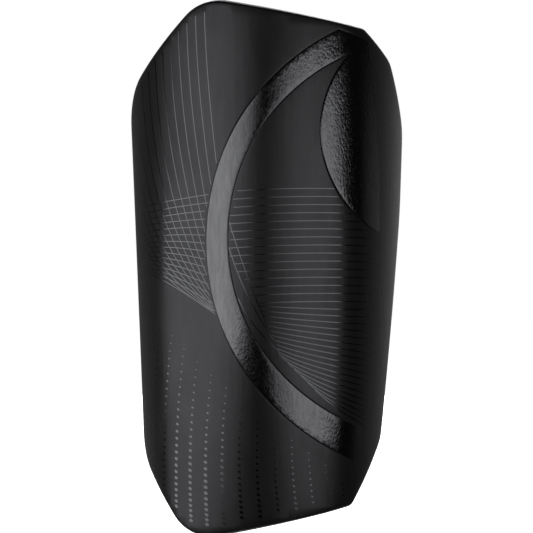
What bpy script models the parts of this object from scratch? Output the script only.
"""A slip-in football shin guard for an adult's lower leg, worn upright.

The guard is a stack of curved sheets, laid out here from its outer face to the
leg: a hard moulded shell, a raised gloss overlay let into a shallow seat in the
shell, a firm foam backing, two soft cushions that straddle the shinbone, and a
knitted lining drawn over the cushions. The 0.3 mm between neighbours is the
glue line. The lining is not glued where it is drawn over a cushion.

Every piece is drawn flat, as a pattern of (across, up) points, and then wrapped
round the leg. Lengths are millimetres until wrapped() turns them into metres.
+Z runs up the shin, the outer face looks towards -Y, and the origin lies on the
lining, half-way up the shinbone.
"""

import math

import bmesh
import bpy
import numpy as np
from mathutils import Vector
from mathutils.geometry import delaunay_2d_cdt

METRES_PER_MM = 0.001

# The surface that everything is wrapped on: a cone round the shin, a little bowed.
MID_RADIUS = 59.5
RADIUS_GAIN = 0.055
HALF_HEIGHT = 110.0
BOW = 3.0

# The stack, measured inwards from the outer face of the shell.
GLUE = 0.3
DRAPE_GAP = 0.6
SHELL_THICKNESS = 2.2
FOAM_THICKNESS = 4.0
LINING_THICKNESS = 0.9
FOAM_DEPTH = SHELL_THICKNESS + GLUE
SOFT_DEPTH = FOAM_DEPTH + FOAM_THICKNESS + GLUE
CHANNEL_DEPTH = SOFT_DEPTH + LINING_THICKNESS

# The shell's outline: each corner as (across, up, radius), anticlockwise from the tall corner.
SHELL_CORNERS = (
    (-31.8, 112.3, 22.0),
    (-75.0, 72.0, 28.0),
    (-69.7, -79.5, 25.0),
    (-38.3, -114.6, 24.0),
    (36.2, -100.3, 5.0),
    (57.5, -73.0, 15.0),
    (76.3, 23.0, 100.0),
    (76.8, 58.0, 20.0),
    (60.2, 86.6, 15.0),
    (41.7, 100.0, 5.0),
)
SHELL_FRONT_ROUND = 1.3
SHELL_BACK_ROUND = 0.5
FOAM_OVERHANG = 0.4
FOAM_ROUND = 1.4
LINING_MARGIN = 0.8

# The overlay: an arc band and a leaf that run together at the top of one side.
BAND_OUTER_CENTRE = (66.8, 10.6)
BAND_OUTER_RADIUS = 96.7
BAND_INNER_CENTRE = (61.6, 11.9)
BAND_INNER_RADIUS = 82.1
LEAF_CENTRE = (62.4, 56.6)
LEAF_RADIUS = 43.5
ARTWORK_EDGE_CENTRE = (-325.5, 12.0)
ARTWORK_EDGE_RADIUS = 378.0
BAND_TOP = (28.0, 99.1)
BAND_FOOT_OUTER = (36.5, -81.2)
BAND_FOOT_INNER = (42.3, -67.9)
BAND_MEETS_LEAF = (33.4, 89.0)
LEAF_FOOT = (52.4, 14.3)
LEAF_TOP = (43.3, 95.0)
SEAT_DEPTH = 0.6
OVERLAY_PROUD = 0.5
OVERLAY_BEVEL = 0.3

# The cushions, one each side of the shinbone's channel.
CUSHION_CENTRE_ACROSS = 33.0
CUSHION_CENTRE_UP = 0.0
CUSHION_HALF_WIDTH = 19.0
CUSHION_HALF_LENGTH = 78.0
CUSHION_CORNER = 17.0
CUSHION_RISE = 3.3
RAMP_OUTSIDE = 5.0
RAMP_INSIDE = 8.0

# Facet sizes, and the distance that a face's inner points keep from its edges.
EDGE_STEP = 5.0
LARGEST_TURN = math.radians(15)
LATTICE_ACROSS = 5.0
LATTICE_UP = 10.0
LATTICE_CLEARANCE = 0.45 * LATTICE_ACROSS
ROUND_STEPS = 2
SHARP_ANGLE = math.radians(35)

BLACK_SHELL = ("black_shell", (0.020, 0.020, 0.022), 0.55)
BLACK_GLOSS = ("black_gloss", (0.012, 0.012, 0.013), 0.12)
FOAM_GREY = ("foam_charcoal", (0.040, 0.040, 0.043), 0.90)
CUSHION_GREY = ("cushion_grey", (0.070, 0.070, 0.075), 0.95)
LINING_BLACK = ("lining_black", (0.015, 0.015, 0.017), 0.98)


def wrapped(across, up, depth):
    """The point of the guard at this place of the flat pattern, this far in from the outer face."""
    radius = MID_RADIUS + RADIUS_GAIN * up
    angle = across / radius
    front = -CHANNEL_DEPTH + BOW * (up / HALF_HEIGHT) ** 2
    x = (radius - depth) * math.sin(angle)
    y = front + radius - (radius - depth) * math.cos(angle)
    return Vector((x, y, up)) * METRES_PER_MM


def straight(start, end):
    """Points from start up to, and without, end."""
    start, end = np.array(start[:2]), np.array(end[:2])
    count = max(1, math.ceil(np.linalg.norm(end - start) / EDGE_STEP))
    return [tuple(start + (end - start) * i / count) for i in range(count)]


def arc(centre, radius, start, end, turn):
    """Points round a circle from start up to, and without, end.

    turn is 1 for anticlockwise and -1 for clockwise.
    """
    first = math.atan2(start[1] - centre[1], start[0] - centre[0])
    last = math.atan2(end[1] - centre[1], end[0] - centre[0])
    sweep = (turn * (last - first)) % (2 * math.pi)
    count = max(2, math.ceil(radius * sweep / EDGE_STEP), math.ceil(sweep / LARGEST_TURN))
    angles = [first + turn * sweep * i / count for i in range(count)]
    return [(centre[0] + radius * math.cos(a), centre[1] + radius * math.sin(a)) for a in angles]


def rounded_outline(corners):
    """The closed loop with straight sides between corners that are rounded to their own radius."""
    loop = []
    count = len(corners)
    rounds = []
    for i, (across, up, radius) in enumerate(corners):
        here = np.array((across, up))
        before = np.array(corners[i - 1][:2]) - here
        after = np.array(corners[(i + 1) % count][:2]) - here
        before /= np.linalg.norm(before)
        after /= np.linalg.norm(after)
        half_angle = math.acos(before @ after) / 2
        reach = radius / math.tan(half_angle)
        middle = here + (before + after) / np.linalg.norm(before + after) * radius / math.sin(half_angle)
        rounds.append((here + before * reach, here + after * reach, middle, radius))
    for i, (start, end, middle, radius) in enumerate(rounds):
        loop += arc(middle, radius, start, end, 1)
        loop += straight(end, rounds[(i + 1) % count][0])
    return np.array(loop)


def overlay_outline():
    """The band's outer edge, its foot, its inner edge, the leaf's edge, and the side and top that they share."""
    return np.array(
        arc(BAND_OUTER_CENTRE, BAND_OUTER_RADIUS, BAND_TOP, BAND_FOOT_OUTER, 1)
        + straight(BAND_FOOT_OUTER, BAND_FOOT_INNER)
        + arc(BAND_INNER_CENTRE, BAND_INNER_RADIUS, BAND_FOOT_INNER, BAND_MEETS_LEAF, -1)
        + arc(LEAF_CENTRE, LEAF_RADIUS, BAND_MEETS_LEAF, LEAF_FOOT, 1)
        + arc(ARTWORK_EDGE_CENTRE, ARTWORK_EDGE_RADIUS, LEAF_FOOT, LEAF_TOP, 1)
        + straight(LEAF_TOP, BAND_TOP)
    )


def inset(loop, distance):
    """The anticlockwise loop moved inwards by the distance, with mitred corners."""
    along = np.roll(loop, -1, axis=0) - loop
    along /= np.linalg.norm(along, axis=1)[:, None]
    inward = np.stack([-along[:, 1], along[:, 0]], axis=1)
    before = np.roll(inward, 1, axis=0)
    mitre = (inward + before) / (1 + (inward * before).sum(axis=1))[:, None]
    return loop + mitre * distance


def is_inside(loop, points):
    """Whether each point lies inside the loop."""
    x, y = points[:, 0, None], points[:, 1, None]
    ax, ay = loop.T
    bx, by = np.roll(loop, -1, axis=0).T
    spans = (ay > y) != (by > y)
    rise = np.where(by == ay, 1.0, by - ay)
    crossing = ax + (y - ay) * (bx - ax) / rise
    return (spans & (x < crossing)).sum(axis=1) % 2 == 1


def distance_to(loop, points):
    """How far each point lies from the loop."""
    start = loop[None]
    along = (np.roll(loop, -1, axis=0) - loop)[None]
    offset = points[:, None] - start
    share = np.clip((offset * along).sum(axis=2) / (along**2).sum(axis=2), 0, 1)
    return np.linalg.norm(offset - along * share[..., None], axis=2).min(axis=1)


def lattice(outer, others=()):
    """A grid of points inside the outer loop, kept clear of it and of the other loops."""
    low, high = outer.min(axis=0), outer.max(axis=0)
    across = np.arange(math.ceil(low[0] / LATTICE_ACROSS), high[0] / LATTICE_ACROSS) * LATTICE_ACROSS
    up = np.arange(math.ceil(low[1] / LATTICE_UP), high[1] / LATTICE_UP) * LATTICE_UP
    points = np.stack(np.meshgrid(across, up), axis=-1).reshape(-1, 2)
    keep = is_inside(outer, points)
    for loop in (outer, *others):
        keep &= distance_to(loop, points) > LATTICE_CLEARANCE
    return points[keep]


def triangulated(loops, points):
    """Anticlockwise triangles over the first loop, with every loop's sides and every point kept."""
    coords = [Vector(p) for loop in loops for p in loop] + [Vector(p) for p in points]
    sides = []
    first = 0
    for loop in loops:
        sides += [(first + i, first + (i + 1) % len(loop)) for i in range(len(loop))]
        first += len(loop)
    made, _, faces, origins, _, _ = delaunay_2d_cdt(coords, sides, [], 1, 1e-6)
    own = [origin[0] for origin in origins]
    triangles = []
    for face in faces:
        a, b, c = (own[i] for i in face)
        turns_left = (coords[b] - coords[a]).cross(coords[c] - coords[a]) > 0
        triangles.append((a, b, c) if turns_left else (a, c, b))
    assert len(made) == len(coords)
    return triangles


def rounded_edge(thickness, front_round, back_round):
    """A sheet's edge from front to back as (inset, share of the thickness) pairs."""
    profile = []
    for i in range(ROUND_STEPS + 1):
        turn = math.pi / 2 * i / ROUND_STEPS
        profile.append((front_round * (1 - math.sin(turn)), front_round * (1 - math.cos(turn)) / thickness))
    for i in range(ROUND_STEPS + 1):
        turn = math.pi / 2 * i / ROUND_STEPS
        profile.append((back_round * (1 - math.cos(turn)), 1 - back_round * (1 - math.sin(turn)) / thickness))
    return profile


def level(depth):
    """A face at one depth all over."""
    return lambda across, up: depth


def cushion_distance(across, up):
    """How far a place of the pattern is outside the nearer cushion's edge, negative inside it."""
    from_side = abs(abs(across) - CUSHION_CENTRE_ACROSS) - (CUSHION_HALF_WIDTH - CUSHION_CORNER)
    from_end = abs(up - CUSHION_CENTRE_UP) - (CUSHION_HALF_LENGTH - CUSHION_CORNER)
    corner = math.hypot(max(from_side, 0), max(from_end, 0))
    return corner + min(max(from_side, from_end), 0) - CUSHION_CORNER


def cushion_rise(across, up):
    """How far the lining is lifted off the foam by the cushions."""
    share = (RAMP_OUTSIDE - cushion_distance(across, up)) / (RAMP_OUTSIDE + RAMP_INSIDE)
    share = min(max(share, 0), 1)
    return CUSHION_RISE * share**2 * (3 - 2 * share)


def cushion_back(across, up):
    """The depth of a cushion's leg face, a little short of the lining drawn over it."""
    return SOFT_DEPTH + cushion_rise(across, up) - DRAPE_GAP


def lining_front(across, up):
    """The depth of the lining's glued face."""
    return SOFT_DEPTH + cushion_rise(across, up)


def lining_back(across, up):
    """The depth of the lining's leg face."""
    return lining_front(across, up) + LINING_THICKNESS


def material(name, colour, roughness):
    """A plain material of one colour."""
    made = bpy.data.materials.new(name)
    made.use_nodes = True
    shader = made.node_tree.nodes["Principled BSDF"]
    shader.inputs["Base Color"].default_value = (*colour, 1)
    shader.inputs["Roughness"].default_value = roughness
    shader.inputs["Metallic"].default_value = 0
    return made


def sheet(name, finish, outline, front, back, profile, seat=None):
    """One closed sheet of the stack.

    front and back give each face's depth at a place of the pattern, profile is the edge
    between them, and seat is a (loop, depth) sunk into the front face.
    """
    body = bmesh.new()
    rings = [inset(outline, distance) for distance, _ in profile]

    def vertices(points, depth):
        return [body.verts.new(wrapped(across, up, depth(across, up))) for across, up in points]

    def ring_depth(share):
        return lambda across, up: front(across, up) + share * (back(across, up) - front(across, up))

    edge = [vertices(ring, ring_depth(share)) for ring, (_, share) in zip(rings, profile)]
    for ahead, behind in zip(edge, edge[1:]):
        for i, (a, b) in enumerate(zip(ahead, behind)):
            j = (i + 1) % len(ahead)
            body.faces.new((a, b, behind[j], ahead[j]))

    inner = lattice(rings[-1])
    pool = edge[-1] + vertices(inner, back)
    for a, b, c in triangulated([rings[-1]], inner):
        body.faces.new((pool[a], pool[c], pool[b]))

    if seat is None:
        inner = lattice(rings[0])
        pool = edge[0] + vertices(inner, front)
        for a, b, c in triangulated([rings[0]], inner):
            body.faces.new((pool[a], pool[b], pool[c]))
    else:
        loop, sunk = seat
        inner = lattice(rings[0], [loop])
        places = np.concatenate([rings[0], loop, inner])
        lip = vertices(loop, front)
        floor = vertices(loop, level(sunk))
        above = edge[0] + lip + vertices(inner, front)
        below = edge[0] + floor + vertices(inner, level(sunk))
        for a, b, c in triangulated([rings[0], loop], inner):
            centre = places[[a, b, c]].mean(axis=0)
            pool = below if is_inside(loop, centre[None])[0] else above
            body.faces.new((pool[a], pool[b], pool[c]))
        for i, (a, b) in enumerate(zip(lip, floor)):
            j = (i + 1) % len(lip)
            body.faces.new((a, lip[j], floor[j], b))
        bmesh.ops.delete(body, geom=[v for v in body.verts if not v.link_faces], context="VERTS")

    mesh = bpy.data.meshes.new(name)
    body.to_mesh(mesh)
    body.free()
    mesh.materials.append(material(*finish))
    mesh.shade_smooth()
    mesh.set_sharp_from_angle(angle=SHARP_ANGLE)
    made = bpy.data.objects.new(name, mesh)
    bpy.context.scene.collection.objects.link(made)
    return made


for startup_object in list(bpy.data.objects):
    bpy.data.objects.remove(startup_object)

shell_outline = rounded_outline(SHELL_CORNERS)
overlay_loop = overlay_outline()
overlay_bottom = SEAT_DEPTH - GLUE
overlay_thickness = overlay_bottom + OVERLAY_PROUD

sheet(
    "outer_shell",
    BLACK_SHELL,
    shell_outline,
    level(0),
    level(SHELL_THICKNESS),
    rounded_edge(SHELL_THICKNESS, SHELL_FRONT_ROUND, SHELL_BACK_ROUND),
    seat=(inset(overlay_loop, -GLUE), SEAT_DEPTH),
)
sheet(
    "gloss_overlay",
    BLACK_GLOSS,
    overlay_loop,
    level(-OVERLAY_PROUD),
    level(overlay_bottom),
    [(OVERLAY_BEVEL, 0), (0, OVERLAY_BEVEL / overlay_thickness), (0, 1)],
)
sheet(
    "foam_backing",
    FOAM_GREY,
    inset(shell_outline, -FOAM_OVERHANG),
    level(FOAM_DEPTH),
    level(FOAM_DEPTH + FOAM_THICKNESS),
    rounded_edge(FOAM_THICKNESS, FOAM_ROUND, FOAM_ROUND),
)
for side, sign in (("left", -1), ("right", 1)):
    centre = sign * CUSHION_CENTRE_ACROSS
    corners = [
        (centre - CUSHION_HALF_WIDTH, CUSHION_CENTRE_UP + CUSHION_HALF_LENGTH, CUSHION_CORNER),
        (centre - CUSHION_HALF_WIDTH, CUSHION_CENTRE_UP - CUSHION_HALF_LENGTH, CUSHION_CORNER),
        (centre + CUSHION_HALF_WIDTH, CUSHION_CENTRE_UP - CUSHION_HALF_LENGTH, CUSHION_CORNER),
        (centre + CUSHION_HALF_WIDTH, CUSHION_CENTRE_UP + CUSHION_HALF_LENGTH, CUSHION_CORNER),
    ]
    sheet(
        f"cushion_{side}",
        CUSHION_GREY,
        rounded_outline(corners),
        level(SOFT_DEPTH),
        cushion_back,
        [(0, 0), (0, 1)],
    )
sheet(
    "lining",
    LINING_BLACK,
    inset(shell_outline, LINING_MARGIN),
    lining_front,
    lining_back,
    [(0, 0), (0, 1)],
)
